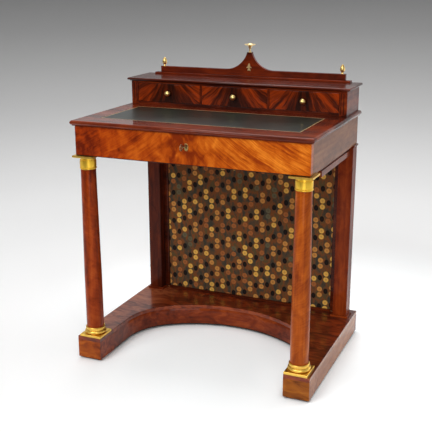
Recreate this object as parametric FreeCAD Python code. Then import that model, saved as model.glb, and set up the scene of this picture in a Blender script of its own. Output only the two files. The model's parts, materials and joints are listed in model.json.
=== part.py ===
"""A column writing desk in veneered mahogany with gilt mounts.

Two turned columns and two square pilasters stand on a base with a hollow front and carry a
frieze with one full-width drawer, a leather-lined writing top, a low case of three drawers
and a shaped gallery. Millimetres; X to the right, Y to the back, Z up from the floor, with
the origin under the middle of the whole desk, the key in its lock included.
"""

import FreeCAD, Part
import math
import os

point = FreeCAD.Vector

# Clearances and small general sizes
overrun = 5.0                    # how far a cutting shape runs past the face it opens
arris = 0.8                      # bevel that eases a sharp edge
glue_gap = 0.1                   # room round a tenon, spigot or pin in its hole
front_gap = 0.6                  # gap round a drawer front
sliding_gap = 0.3                # gap between a drawer and the pieces that carry and guide it
spin_gap = 0.05                  # running clearance of the key on its pin
same_plane = 0.001               # how close counts as lying in a plane

# Base
base_side_projection = 18.0      # beyond the frieze at each side
base_back_projection = 29.0      # beyond the frieze at the back
base_height = 70.0
base_board_thickness = 12.0
base_wall = 18.0
end_block_width = 79.0
end_block_depth = 84.0
rear_block_width = 62.0
recess_depth = 399.0             # hollow front, from the base front to its deepest point
recess_straight = 180.0          # straight run of its sides before they curve in
haunch_share = 0.82              # radius of the side curves as a share of the curved depth
pad_height = 6.0
pad_size = 67.0
pad_inset = 5.0
pad_bevel = 2.5

# Columns with their gilt mounts
column_side_inset = 25.0         # axis inside the frieze's side
column_front_inset = 25.5        # axis behind the frieze's front
column_foot_diameter = 54.0
column_neck_diameter = 46.0
column_shaft_length = 508.0
spigot_diameter = 22.0
spigot_reach = 26.0              # of the lower spigot into the end block
column_plate_size = 71.0
column_plate_height = 7.0
column_base_height = 29.0
column_torus_diameter = 67.0
column_torus_height = 12.0
column_waist_diameter = 57.0     # between the fat ring and the thin one
column_ring_diameter = 61.0
column_ring_height = 6.0
ring_bevel = 1.6                 # of the thin rings of base and capital
capital_height = 36.6
capital_ring_diameter = 51.0
capital_ring_height = 6.0
capital_drum_diameter = 49.6
capital_drum_swell = 0.4         # of the drum's middle beyond its ends
capital_throat_diameter = 44.6
capital_throat_height = 9.0
abacus_size = 68.0
abacus_thickness = 6.0

# Pilasters and the covered back
pilaster_width = 46.5
pilaster_depth = 46.0
pilaster_projection = 1.0        # beyond the frieze's side
pilaster_foot_height = 6.0
pilaster_foot_projection = 6.0
pilaster_cap_height = 6.0
pilaster_cap_projection = 4.0
tenon_size = 20.0
back_thickness = 8.0
back_inset = 3.0                 # back panel inside the back of the pilasters
cloth_thickness = 1.0
bead_width = 17.0
bead_foot_height = 8.0           # of the bead that lies along the base
bead_depth = 7.0

# Frieze carcass
frieze_width = 724.0
frieze_depth = 498.0
frieze_height = 90.0
frieze_setback = 11.0            # behind the front of the base
frieze_wall = 20.0
corner_block_width = 24.0
corner_block_depth = 44.0
guide_height = 20.0
ledge_width = 40.0               # drawer ledge inside the frieze's side
ledge_height = 14.0
batten_height = 17.0             # rail that shows below the ledge
batten_setback = 9.0             # its face inside the frieze's side
batten_width = 37.0
batten_front_inset = 138.0       # its front end behind the frieze's front
batten_neck = 6.0                # of the rail under the edge of the frieze's side

# Writing top
top_thickness = 15.5
top_overhang = 10.6
leather_thickness = 1.5
leather_side_margin = 62.0
leather_front_margin = 75.0
leather_back_margin = 47.0

# Frieze drawer
drawer_front_thickness = 20.0
drawer_side_thickness = 10.0
drawer_side_height = 70.0
drawer_back_room = 54.0          # behind the closed drawer
drawer_bottom_thickness = 6.0
drawer_bottom_rise = 5.0
drawer_groove = 5.0
drawer_back_drop = 8.0           # back lower than the sides

# Lock and key
keyhole_below_top = 32.0         # key axis below the top of the drawer front
lock_width = 52.0
lock_below_key = 18.0
lock_depth = 12.0
lock_plate = 2.4
lock_standing = 3.0              # how far the lock stands behind the drawer front
bolt_width = 18.0
bolt_lift = 6.0
bolt_above_key = 12.0
mortise_room = 1.5
key_shank_diameter = 5.0
key_pin_diameter = 2.4
key_bit_reach = 8.5
key_bit_thickness = 2.4
key_bow_diameter = 19.0
key_bow_width = 3.6              # of the ring, from its eye to its rim
key_bow_thickness = 3.2
key_bow_standing = 42.0          # outer end of the bow before the drawer front
key_collar_diameter = 8.5
key_collar_length = 2.5
keyhole_room = 0.7
escutcheon_width = 12.5
escutcheon_height = 22.0
escutcheon_thickness = 1.2

# Upper case with three drawers
upper_depth = 144.5
upper_height = 75.0
upper_side_thickness = 24.0
upper_back_thickness = 8.0
upper_bottom_thickness = 9.5
upper_rail_height = 5.0
divider_thickness = 6.0
small_front_thickness = 14.0
small_side_thickness = 6.0
small_side_height = 48.0
small_bottom_thickness = 4.0
small_back_room = 4.0            # between a small drawer and the back of the case
knob_diameter = 18.5
knob_length = 18.0
knob_neck_diameter = 7.0
knob_rose_diameter = 12.0
knob_rose_length = 3.0
knob_pin_diameter = 5.0
cornice_thickness = 10.5
cornice_overhang = 10.3

# Gallery
gallery_strip_half = 338.0
gallery_strip_depth = 22.0
gallery_strip_height = 6.0
gallery_half = 319.5
gallery_thickness = 13.0
gallery_height = 19.0
peak_half = 8.5
peak_run = 74.5                  # sideways reach of each curve below the peak
peak_rise = 53.0
peak_neck = 3.0
leaf_mount_height = 26.0
leaf_mount_rise = 14.0           # its foot above the foot of the gallery
leaf_thickness = 2.6
leaf_boss_diameter = 4.4
finial_pin_diameter = 4.0
finial_pin_length = 9.0
dish_diameter = 36.0
dish_height = 29.0               # to the top of the knop in its middle
dish_foot_diameter = 11.0
dish_stem_diameter = 5.6
acorn_diameter = 15.5
acorn_height = 30.0
acorn_inset = 11.5               # axis inside the end of the gallery

# Shares and angles that shape the columns, mouldings, turned mounts and leaves
column_straight_share = 0.33             # lower part of the shaft, before it tapers
top_fillet_shares = (0.55, 0.2)          # lower fillet: share of the overhang and of the thickness
top_step_share = 0.78                    # foot of the rounded nose, as a share of the overhang
top_nose_share = 0.62                    # level of the tip
top_brow_share = 0.5                     # where the nose meets the writing level
cornice_foot_share = 0.3                 # foot of the hollow under the cornice's nose
cornice_hollow_shares = (0.54, 0.22)     # middle of that hollow, of the overhang and of the thickness
cornice_step_shares = (0.88, 0.32)       # where the hollow ends and the nose starts
cornice_nose_share = 0.6
cornice_brow_share = 0.58
leaf_shares = {                          # root, length and width, of the mount's height
    "stem": (0.1, 0.56, 0.12),
    "bud": (0.46, 0.54, 0.26),
    "side": (0.62, 0.38, 0.15),
    "foot": (0.34, 0.3, 0.15),
}
leaf_angles = {"side": 118.0, "foot": 142.0}   # from upright, to each side
dish_throat_share = 0.36                 # top of the stem, of the dish's height
dish_bowl_shares = (0.4, 0.68)           # foot of the dish, of its radius and height
dish_lip_shares = (1.0, 0.83)
dish_rim_shares = (0.93, 0.88)
dish_knop_shares = (0.58, 0.86)          # foot of the knop
acorn_foot_share = 0.6
acorn_neck_shares = (0.4, 0.16)          # each of the acorn's radius and height
acorn_cup_shares = (0.86, 0.28)
acorn_body_shares = (1.0, 0.44)
acorn_shoulder_shares = (0.76, 0.76)
acorn_tip_shares = (0.2, 0.985)

# Levels, from the floor up
base_top = pad_height + base_height
board_under = base_top - base_board_thickness
shaft_foot = base_top + column_base_height
shaft_neck = shaft_foot + column_shaft_length
abacus_under = shaft_neck + capital_height
frieze_bottom = abacus_under + abacus_thickness
frieze_top = frieze_bottom + frieze_height
writing_level = frieze_top + top_thickness
upper_floor = writing_level + upper_bottom_thickness
upper_top = writing_level + upper_height
upper_rail_under = upper_top - upper_rail_height
cornice_top = upper_top + cornice_thickness
gallery_foot = cornice_top + gallery_strip_height
gallery_top = gallery_foot + gallery_height
peak_top = gallery_top + peak_rise + peak_neck

# Planes from side to side and from front to back
frieze_half = frieze_width / 2
base_half = frieze_half + base_side_projection
base_depth = frieze_setback + frieze_depth + base_back_projection
key_projection = max(key_bow_standing - frieze_setback, 0)
base_front = (key_projection - base_depth) / 2
base_back = base_front + base_depth
frieze_front = base_front + frieze_setback
carcass_back = frieze_front + frieze_depth
carcass_front = frieze_front + drawer_front_thickness + front_gap
drawer_length = frieze_depth - drawer_front_thickness - frieze_wall - drawer_back_room
frieze_inside = frieze_half - frieze_wall
drawer_way = frieze_inside - corner_block_width
column_x = frieze_half - column_side_inset
column_y = frieze_front + column_front_inset
pilaster_out = frieze_half + pilaster_projection
pilaster_in = pilaster_out - pilaster_width
pilaster_front = carcass_back - pilaster_depth
back_face = carcass_back - back_inset - back_thickness
upper_front = carcass_back - upper_depth
upper_inside = frieze_half - upper_side_thickness
key_level = frieze_top - front_gap - keyhole_below_top

# The hollow front of the base: two side curves that run into one flatter curve
recess_half = base_half - end_block_width
recess_rise = recess_depth - recess_straight
haunch_radius = recess_rise * haunch_share
crown_radius = (recess_half ** 2 + recess_rise ** 2 - 2 * recess_half * haunch_radius) / (
    2 * (recess_rise - haunch_radius)
)


def block(x, y, z):
    """A box between two limits along each axis."""
    return Part.makeBox(x[1] - x[0], y[1] - y[0], z[1] - z[0], point(x[0], y[0], z[0]))


def on_level(z):
    """Places a flat outline at one level."""
    return lambda p: point(p[0], p[1], z)


def on_front(y):
    """Places an outline of X and Z in a plane that faces the front."""
    return lambda p: point(p[0], y, p[1])


def on_side(x):
    """Places an outline of Y and Z in a plane that faces the side."""
    return lambda p: point(x, p[0], p[1])


def face(place, start, *steps):
    """A flat face; a step is a point for a straight side, or two for an arc through the first."""
    edges = []
    here = start
    for step in steps + (start,):
        arc = isinstance(step[0], tuple)
        end = step[1] if arc else step
        if arc:
            edges.append(Part.Arc(place(here), place(step[0]), place(end)).toShape())
        elif end != here:
            edges.append(Part.makeLine(place(here), place(end)))
        here = end
    return Part.Face(Part.Wire(edges))


def turned(at, along, start, *steps):
    """A turned piece: steps of radius and distance along the axis, from a point on it."""
    across = point(0, 0, 1) if abs(along.z) < abs(along.y) else point(1, 0, 0)
    profile = face(lambda p: at + across * p[0] + along * p[1], start, *steps)
    return profile.revolve(at, along, 360)


def domed(start, end):
    """A step of a turned outline, from start to end round a ball whose middle lies on the axis."""
    middle = (end[0] ** 2 + end[1] ** 2 - start[0] ** 2 - start[1] ** 2) / (2 * (end[1] - start[1]))
    radius = math.hypot(start[0], start[1] - middle)
    turn = (math.atan2(start[0], start[1] - middle) + math.atan2(end[0], end[1] - middle)) / 2
    return ((radius * math.sin(turn), middle + radius * math.cos(turn)), end)


def rod(diameter, at, along, length):
    """A plain round bar."""
    return Part.makeCylinder(diameter / 2, length, at, along)


def mirrored(shape):
    """The same piece on the other side of the desk."""
    return shape.mirror(point(0, 0, 0), point(1, 0, 0))


def edges_in(solid, axis, value):
    """The edges of a solid that lie in one plane square to an axis."""
    low, high = axis + "Min", axis + "Max"
    return [
        edge for edge in solid.Edges
        if abs(getattr(edge.BoundBox, low) - value) < same_plane
        and abs(getattr(edge.BoundBox, high) - value) < same_plane
    ]


def eased(solid, axis, value, bevel=arris):
    """Eases the edges of a solid that lie in one plane."""
    return solid.makeChamfer(bevel, edges_in(solid, axis, value))


def recess(outset, first_y, low, high):
    """The hollow of the base as a solid, grown outward, from a front plane back."""
    side = recess_half + outset
    spring = base_front + recess_straight
    centre = (recess_half - haunch_radius, spring)
    crown_centre = base_front + recess_depth - crown_radius
    turn = math.atan2(spring - crown_centre, centre[0])
    radius = haunch_radius + outset

    def haunch(angle, hand):
        return (hand * (centre[0] + radius * math.cos(angle)), centre[1] + radius * math.sin(angle))

    outline = face(
        on_level(low),
        (-side, first_y),
        (-side, spring),
        (haunch(turn / 2, -1), haunch(turn, -1)),
        ((0, base_front + recess_depth + outset), haunch(turn, 1)),
        (haunch(turn / 2, 1), (side, spring)),
        (side, first_y),
    )
    return outline.extrude(point(0, 0, high - low))


def column_hole(hand, low, high):
    """The hole for a column's spigot."""
    foot = point(hand * column_x, column_y, low)
    return rod(spigot_diameter + 2 * glue_gap, foot, point(0, 0, 1), high - low)


def pilaster_hole(hand, low, high):
    """The square hole for a pilaster's tenon."""
    middle_x = hand * (pilaster_in + pilaster_out) / 2
    middle_y = pilaster_front + pilaster_depth / 2
    reach = tenon_size / 2 + glue_gap
    return block((middle_x - reach, middle_x + reach), (middle_y - reach, middle_y + reach), (low, high))


def base_pieces():
    """The base: a board with a hollow front on end blocks, walls and pads."""
    board = block((-base_half, base_half), (base_front, base_back), (board_under, base_top))
    board = board.cut(recess(0, base_front - overrun, board_under - overrun, base_top + overrun))
    board = eased(board, "Z", base_top)
    walls = (pad_height, board_under)
    wall_front = base_front + end_block_depth
    side = block((base_half - base_wall, base_half), (wall_front, base_back - base_wall), walls)
    end = block((recess_half, base_half), (base_front, wall_front), walls)
    end = end.cut(column_hole(1, board_under - spigot_reach, board_under + overrun))
    for hand in (-1, 1):
        board = board.cut(column_hole(hand, board_under - overrun, base_top + overrun))
        board = board.cut(pilaster_hole(hand, board_under - overrun, base_top + overrun))
    apron = recess(base_wall, wall_front, *walls)
    apron = apron.cut(recess(0, wall_front - overrun, pad_height - overrun, board_under + overrun))
    rear_x = (base_half - base_wall - rear_block_width, base_half - base_wall)
    rear_y = (base_back - base_wall - rear_block_width, base_back - base_wall)
    rear = block(rear_x, rear_y, walls)
    pad_x = (base_half - pad_inset - pad_size, base_half - pad_inset)
    pads = []
    for y in (base_front + pad_inset, base_back - pad_inset - pad_size):
        pad = eased(block(pad_x, (y, y + pad_size), (0, pad_height)), "Z", 0, pad_bevel)
        pads += [pad, mirrored(pad)]
    return {
        "base_top_board": board,
        "base_side_left": mirrored(side),
        "base_side_right": side,
        "base_back_rail": block((-base_half, base_half), (base_back - base_wall, base_back), walls),
        "base_curved_apron": apron,
        "base_end_blocks": Part.makeCompound([mirrored(end), end]),
        "base_rear_blocks": Part.makeCompound([mirrored(rear), rear]),
        "foot_pads": Part.makeCompound(pads),
    }


def column_shaft():
    """The turned shaft, straight below and tapered above, with a spigot at each end for its mounts."""
    pin = spigot_diameter / 2
    foot = column_foot_diameter / 2
    neck = column_neck_diameter / 2
    below = -column_base_height - base_board_thickness - spigot_reach + glue_gap
    above = column_shaft_length + capital_height + abacus_thickness
    return turned(
        point(column_x, column_y, shaft_foot), point(0, 0, 1),
        (0, below), (pin, below), (pin, 0), (foot, 0),
        (foot, column_shaft_length * column_straight_share), (neck, column_shaft_length),
        (pin, column_shaft_length), (pin, above), (0, above),
    )


def column_base():
    """The gilt base: a square plate, a fat ring, a waist and a thin ring."""
    torus = column_torus_diameter / 2
    ring = column_ring_diameter / 2
    waist = column_waist_diameter / 2
    torus_in = torus - column_torus_height / 2
    torus_top = column_plate_height + column_torus_height
    ring_foot = column_base_height - column_ring_height
    hole = spigot_diameter / 2 + glue_gap
    mount = turned(
        point(column_x, column_y, base_top), point(0, 0, 1),
        (hole, 0), (waist, 0), (waist, column_plate_height),
        (torus_in, column_plate_height),
        ((torus, (column_plate_height + torus_top) / 2), (torus_in, torus_top)),
        (waist, torus_top), (waist, ring_foot),
        (ring - ring_bevel, ring_foot), (ring, ring_foot + ring_bevel),
        (ring, column_base_height - ring_bevel), (ring - ring_bevel, column_base_height),
        (hole, column_base_height),
    )
    reach = column_plate_size / 2
    plate = block(
        (column_x - reach, column_x + reach), (column_y - reach, column_y + reach),
        (base_top, base_top + column_plate_height),
    )
    plate = eased(plate, "Z", base_top + column_plate_height)
    plate = plate.cut(column_hole(1, base_top - overrun, base_top + column_base_height))
    return plate.fuse(mount).removeSplitter()


def column_capital():
    """The gilt capital: a ring round the neck, a drum that swells, and a throat under the abacus."""
    ring = capital_ring_diameter / 2
    drum = capital_drum_diameter / 2
    drum_end = drum - capital_drum_swell
    throat = capital_throat_diameter / 2
    hole = spigot_diameter / 2 + glue_gap
    drum_top = capital_height - capital_throat_height
    drum_middle = (drum, (capital_ring_height + drum_top) / 2)
    return turned(
        point(column_x, column_y, shaft_neck), point(0, 0, 1),
        (hole, 0), (ring - ring_bevel, 0), (ring, ring_bevel),
        (ring, capital_ring_height - ring_bevel), (ring - ring_bevel, capital_ring_height),
        (drum_end, capital_ring_height), (drum_middle, (drum_end, drum_top)),
        (throat, drum_top), (throat, capital_height), (hole, capital_height),
    )


def column_abacus():
    """The square plate between a capital and the frieze."""
    reach = abacus_size / 2
    plate = block(
        (column_x - reach, column_x + reach), (column_y - reach, column_y + reach),
        (abacus_under, frieze_bottom),
    )
    plate = eased(plate, "Z", abacus_under)
    return plate.cut(column_hole(1, abacus_under - overrun, frieze_bottom + overrun))


def column_pieces():
    """Both columns, built at the right and mirrored."""
    shaft, base, capital, abacus = column_shaft(), column_base(), column_capital(), column_abacus()
    return {
        "column_left": mirrored(shaft),
        "column_right": shaft,
        "column_base_left": mirrored(base),
        "column_base_right": base,
        "column_capital_left": mirrored(capital),
        "column_capital_right": capital,
        "column_abaci": Part.makeCompound([mirrored(abacus), abacus]),
    }


def pilaster_plate(spread, low, high):
    """A plate wider than the right pilaster, at its foot or its head."""
    return block(
        (pilaster_in - spread, pilaster_out + spread), (pilaster_front - spread, carcass_back), (low, high)
    )


def pilaster_pieces():
    """The square pilasters with their foot and cap plates, and the covered back between them."""
    foot_top = base_top + pilaster_foot_height
    cap_under = frieze_bottom - pilaster_cap_height
    shaft = block((pilaster_in, pilaster_out), (pilaster_front, carcass_back), (foot_top, cap_under))
    shaft = eased(shaft, "Y", pilaster_front)
    middle_x = (pilaster_in + pilaster_out) / 2
    middle_y = pilaster_front + pilaster_depth / 2
    reach = tenon_size / 2
    tenon = block(
        (middle_x - reach, middle_x + reach), (middle_y - reach, middle_y + reach), (board_under, foot_top)
    )
    shaft = shaft.fuse(tenon)
    foot = eased(pilaster_plate(pilaster_foot_projection, base_top, foot_top), "Z", foot_top)
    foot = foot.cut(pilaster_hole(1, base_top - overrun, foot_top + overrun))
    cap = eased(pilaster_plate(pilaster_cap_projection, cap_under, frieze_bottom), "Z", cap_under)
    plates = [mirrored(foot), foot, mirrored(cap), cap]
    return {
        "pilaster_left": mirrored(shaft),
        "pilaster_right": shaft,
        "pilaster_plates": Part.makeCompound(plates),
        **back_pieces(foot_top, cap_under),
    }


def back_pieces(foot_top, cap_under):
    """The back panel, notched round the pilaster plates, its cloth and the beads round the cloth."""
    panel_y = (back_face, back_face + back_thickness)
    panel = block((-pilaster_in, pilaster_in), panel_y, (base_top, frieze_bottom))
    for spread, low, high in (
        (pilaster_foot_projection, base_top, foot_top), (pilaster_cap_projection, cap_under, frieze_bottom)
    ):
        notch = pilaster_plate(spread, low, high)
        panel = panel.cut(notch).cut(mirrored(notch))
    bead_y = (back_face - bead_depth, back_face)
    inner = pilaster_in - bead_width
    cloth_z = (base_top + bead_foot_height, frieze_bottom - bead_width)
    beads = [
        block((inner, pilaster_in), bead_y, (foot_top, cap_under)),
        block((-pilaster_in, -inner), bead_y, (foot_top, cap_under)),
        block((-inner, inner), bead_y, (base_top, cloth_z[0])),
        block((-inner, inner), bead_y, (cloth_z[1], frieze_bottom)),
    ]
    return {
        "back_panel": panel,
        "back_cloth": block((-inner, inner), (back_face - cloth_thickness, back_face), cloth_z),
        "cloth_beads": Part.makeCompound([eased(bead, "Y", bead_y[0]) for bead in beads]),
    }


def frieze_pieces():
    """The carcass round the frieze drawer, with the ledges, guides and kickers it runs between."""
    walls = (frieze_bottom, frieze_top)
    side = block((frieze_inside, frieze_half), (carcass_front, carcass_back), walls)
    corner_back = carcass_front + corner_block_depth
    back_front = carcass_back - frieze_wall
    corner = block((drawer_way, frieze_inside), (carcass_front, corner_back), walls)
    inside = (drawer_way, frieze_inside)
    guide = block(inside, (corner_back, back_front), (frieze_bottom, frieze_bottom + guide_height))
    kicker_under = frieze_bottom + sliding_gap + drawer_side_height + sliding_gap
    kicker_in = drawer_way - sliding_gap - drawer_side_thickness
    kicker = block((kicker_in, frieze_inside), (corner_back, back_front), (kicker_under, frieze_top))
    ledge_front = column_y + abacus_size / 2 + front_gap
    ledge_back = pilaster_front - pilaster_cap_projection
    ledge_under = frieze_bottom - ledge_height
    ledge = block(
        (frieze_inside - ledge_width, frieze_inside), (ledge_front, ledge_back), (ledge_under, frieze_bottom)
    )
    batten_out = frieze_half - batten_setback
    batten_y = (frieze_front + batten_front_inset, ledge_back)
    batten_z = (ledge_under - batten_height, ledge_under)
    batten = block((batten_out - batten_width, batten_out), batten_y, batten_z)
    neck = block((frieze_inside, frieze_inside + batten_neck), batten_y, (ledge_under, frieze_bottom))
    runner = ledge.fuse([batten, neck]).removeSplitter()
    return {
        "frieze_side_left": mirrored(side),
        "frieze_side_right": side,
        "frieze_back": block((-frieze_inside, frieze_inside), (back_front, carcass_back), walls),
        "frieze_corner_blocks": Part.makeCompound([mirrored(corner), corner]),
        "drawer_guides": Part.makeCompound([mirrored(guide), guide]),
        "drawer_kickers": Part.makeCompound([mirrored(kicker), kicker]),
        "drawer_runner_left": mirrored(runner),
        "drawer_runner_right": runner,
    }


def moulded_board(half, front, back, low, high, overhang, *edge):
    """A board whose front and side edges share one moulding, given as overhang and level."""

    def steps_along(move):
        return [(move(s[0]), move(s[1])) if isinstance(s[0], tuple) else move(s) for s in edge]

    across = steps_along(lambda p: (half + p[0], p[1]))
    endways = steps_along(lambda p: (front - p[0], p[1]))
    reach = overhang + overrun
    right = face(on_front(front - reach), (0, low), *across, (0, high))
    right = right.extrude(point(0, back - front + reach + overrun, 0))
    depth = face(on_side(0), (back, low), *endways, (back, high)).extrude(point(half + reach, 0, 0))
    half_board = right.common(depth)
    return half_board.fuse(mirrored(half_board)).removeSplitter()


def top_pieces():
    """The writing top with its moulded edge, and the leather let into it."""
    low, high = frieze_top, writing_level
    fillet_out = top_overhang * top_fillet_shares[0]
    fillet_top = low + top_thickness * top_fillet_shares[1]
    top = moulded_board(
        frieze_half, frieze_front, carcass_back, low, high, top_overhang,
        (fillet_out, low),
        (fillet_out, fillet_top),
        (top_overhang * top_step_share, fillet_top),
        ((top_overhang, low + top_thickness * top_nose_share), (top_overhang * top_brow_share, high)),
    )
    leather_half = frieze_half + top_overhang - leather_side_margin
    leather_x = (-leather_half, leather_half)
    leather_y = (frieze_front - top_overhang + leather_front_margin, upper_front - leather_back_margin)
    bed = high - leather_thickness
    top = top.cut(block(leather_x, leather_y, (bed, high + overrun)))
    bolt_y = lock_span()
    mortise_half = bolt_width / 2 + mortise_room
    mortise_y = (bolt_y[0] - mortise_room, bolt_y[1] + mortise_room)
    mortise_z = (low - overrun, low + bolt_lift + mortise_room)
    top = top.cut(block((-mortise_half, mortise_half), mortise_y, mortise_z))
    leather = block(
        (leather_x[0] + glue_gap, leather_x[1] - glue_gap),
        (leather_y[0] + glue_gap, leather_y[1] - glue_gap),
        (bed, high),
    )
    return {"writing_top": top, "leather_inset": leather}


def lock_span():
    """Where the lock's inside lies from front to back."""
    back = frieze_front + drawer_front_thickness + lock_standing
    return (back - lock_depth + lock_plate, back - lock_plate)


def keyhole(front, back, room):
    """A keyhole: a round hole for the shank and a slot below it for the bit."""
    radius = key_shank_diameter / 2 + room
    slot_half = key_bit_thickness / 2 + room
    round_hole = rod(2 * radius, point(0, front, key_level), point(0, 1, 0), back - front)
    slot = block((-slot_half, slot_half), (front, back), (key_level - key_bit_reach - room, key_level))
    return round_hole.fuse(slot)


def frieze_drawer_pieces():
    """The full-width drawer: a front on two sides, a back and a bottom held in grooves."""
    front_y = (frieze_front, frieze_front + drawer_front_thickness)
    front_z = (frieze_bottom + front_gap, frieze_top - front_gap)
    front = block((-frieze_half, frieze_half), front_y, front_z)
    front = eased(front, "Y", frieze_front)
    lock_half = lock_width / 2
    lock_y = (front_y[1] + lock_standing - lock_depth, front_y[1] + lock_standing)
    lock_z = (key_level - lock_below_key, front_z[1])
    bed = block((-lock_half, lock_half), (lock_y[0], front_y[1] + overrun), (lock_z[0], lock_z[1] + overrun))
    front = front.cut(bed).cut(keyhole(front_y[0] - overrun, lock_y[0] + overrun, keyhole_room))
    low = frieze_bottom + sliding_gap
    outside = drawer_way - sliding_gap
    inside = outside - drawer_side_thickness
    back_y = front_y[1] + drawer_length
    bottom_z = (low + drawer_bottom_rise, low + drawer_bottom_rise + drawer_bottom_thickness)
    back_inner = back_y - drawer_side_thickness
    side = block((inside, outside), (front_y[1], back_y), (low, low + drawer_side_height))
    groove = block((inside - overrun, inside + drawer_groove), (front_y[1] - overrun, back_inner), bottom_z)
    side = side.cut(groove)
    side = side.makeChamfer(arris, edges_in(side, "Z", low + drawer_side_height))
    reach = inside + drawer_groove - glue_gap
    bottom = block((-reach, reach), (front_y[1], back_inner), bottom_z)
    back = block((-inside, inside), (back_inner, back_y), (low, low + drawer_side_height - drawer_back_drop))
    return {
        "frieze_drawer_front": front,
        "frieze_drawer_sides": Part.makeCompound([mirrored(side), side]),
        "frieze_drawer_back": back,
        "frieze_drawer_bottom": bottom,
        **lock_pieces(lock_half, lock_y, lock_z),
    }


def lock_pieces(lock_half, lock_y, lock_z):
    """The drawer lock, its bolt and key, and the plate round the keyhole."""
    inside_y = lock_span()
    case = block((-lock_half, lock_half), lock_y, lock_z)
    turn_room = key_bit_reach + keyhole_room
    chamber = rod(2 * turn_room, point(0, inside_y[0], key_level), point(0, 1, 0), inside_y[1] - inside_y[0])
    bolt_half = bolt_width / 2
    bolt_foot = key_level + bolt_above_key
    channel = block(
        (-bolt_half - sliding_gap, bolt_half + sliding_gap), inside_y,
        (bolt_foot - sliding_gap, lock_z[1] + overrun),
    )
    case = case.cut(chamber).cut(channel)
    case = case.cut(keyhole(lock_y[0] - overrun, inside_y[0] + sliding_gap, keyhole_room))
    pin_front = lock_y[0]
    pin = rod(key_pin_diameter, point(0, pin_front, key_level), point(0, 1, 0), inside_y[1] - pin_front)
    case = case.fuse(pin)
    bolt = block(
        (-bolt_half, bolt_half), (inside_y[0] + sliding_gap, inside_y[1] - sliding_gap),
        (bolt_foot, lock_z[1] - sliding_gap),
    )
    plate_front = frieze_front - escutcheon_thickness
    oval = Part.Ellipse(point(0, 0, 0), escutcheon_height / 2, escutcheon_width / 2).toShape()
    oval.rotate(point(0, 0, 0), point(0, 0, 1), 90)
    oval.rotate(point(0, 0, 0), point(1, 0, 0), 90)
    oval.translate(point(0, frieze_front, key_level - key_bit_reach / 2))
    escutcheon = Part.Face(Part.Wire(oval)).extrude(point(0, -escutcheon_thickness, 0))
    escutcheon = escutcheon.cut(keyhole(plate_front - overrun, frieze_front + overrun, keyhole_room))
    return {
        "lock_case": case,
        "lock_bolt": bolt,
        "key": lock_key(plate_front, inside_y),
        "key_escutcheon": escutcheon,
    }


def lock_key(plate_front, inside_y):
    """The key: a flat ring bow, a collar, a hollow shank and a bit."""
    bow_y = frieze_front - key_bow_standing + key_bow_diameter / 2
    bow_half = key_bow_thickness / 2
    eye_diameter = key_bow_diameter - 2 * key_bow_width
    bow = rod(key_bow_diameter, point(-bow_half, bow_y, key_level), point(1, 0, 0), key_bow_thickness)
    bow = bow.cut(rod(eye_diameter, point(-bow_half, bow_y, key_level), point(1, 0, 0), key_bow_thickness))
    bow = eased(eased(bow, "X", -bow_half), "X", bow_half)
    shank_front = bow_y + (key_bow_diameter - key_bow_width) / 2
    shank_back = inside_y[1] - sliding_gap
    shank_end = point(0, shank_front, key_level)
    shank = rod(key_shank_diameter, shank_end, point(0, 1, 0), shank_back - shank_front)
    collar_y = plate_front - sliding_gap - key_collar_length
    collar = rod(key_collar_diameter, point(0, collar_y, key_level), point(0, 1, 0), key_collar_length)
    bit_half = key_bit_thickness / 2
    bit = block(
        (-bit_half, bit_half), (inside_y[0] + sliding_gap, shank_back), (key_level - key_bit_reach, key_level)
    )
    key = bow.fuse([shank, collar, bit])
    bore_front = inside_y[0] - lock_plate - sliding_gap
    bore = rod(
        key_pin_diameter + 2 * spin_gap, point(0, bore_front, key_level), point(0, 1, 0),
        shank_back + overrun - bore_front,
    )
    return key.cut(bore)


def upper_case_pieces():
    """The drawer case on the back of the writing top, and the moulded board over it."""
    walls = (writing_level, upper_top)
    side = block((upper_inside, frieze_half), (upper_front, carcass_back), walls)
    side = eased(side, "Y", upper_front)
    back_front = carcass_back - upper_back_thickness
    between = (-upper_inside, upper_inside)
    room = (upper_floor, upper_rail_under)
    divider_in = small_opening() / 2
    divider = block((divider_in, divider_in + divider_thickness), (upper_front, back_front), room)
    low, high = upper_top, cornice_top
    hollow, step = [
        (cornice_overhang * shares[0], low + cornice_thickness * shares[1])
        for shares in (cornice_hollow_shares, cornice_step_shares)
    ]
    cornice = moulded_board(
        frieze_half, upper_front, carcass_back, low, high, cornice_overhang,
        (cornice_overhang * cornice_foot_share, low),
        (hollow, step),
        ((cornice_overhang, low + cornice_thickness * cornice_nose_share),
         (cornice_overhang * cornice_brow_share, high)),
    )
    return {
        "upper_side_left": mirrored(side),
        "upper_side_right": side,
        "upper_back": block(between, (back_front, carcass_back), walls),
        "upper_bottom": block(between, (upper_front, back_front), (writing_level, upper_floor)),
        "upper_front_rail": block(between, (upper_front, back_front), (upper_rail_under, upper_top)),
        "upper_dividers": Part.makeCompound([mirrored(divider), divider]),
        "cornice_board": cornice,
    }


def small_opening():
    """The width of one opening in the upper case."""
    return (2 * upper_inside - 2 * divider_thickness) / 3


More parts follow.
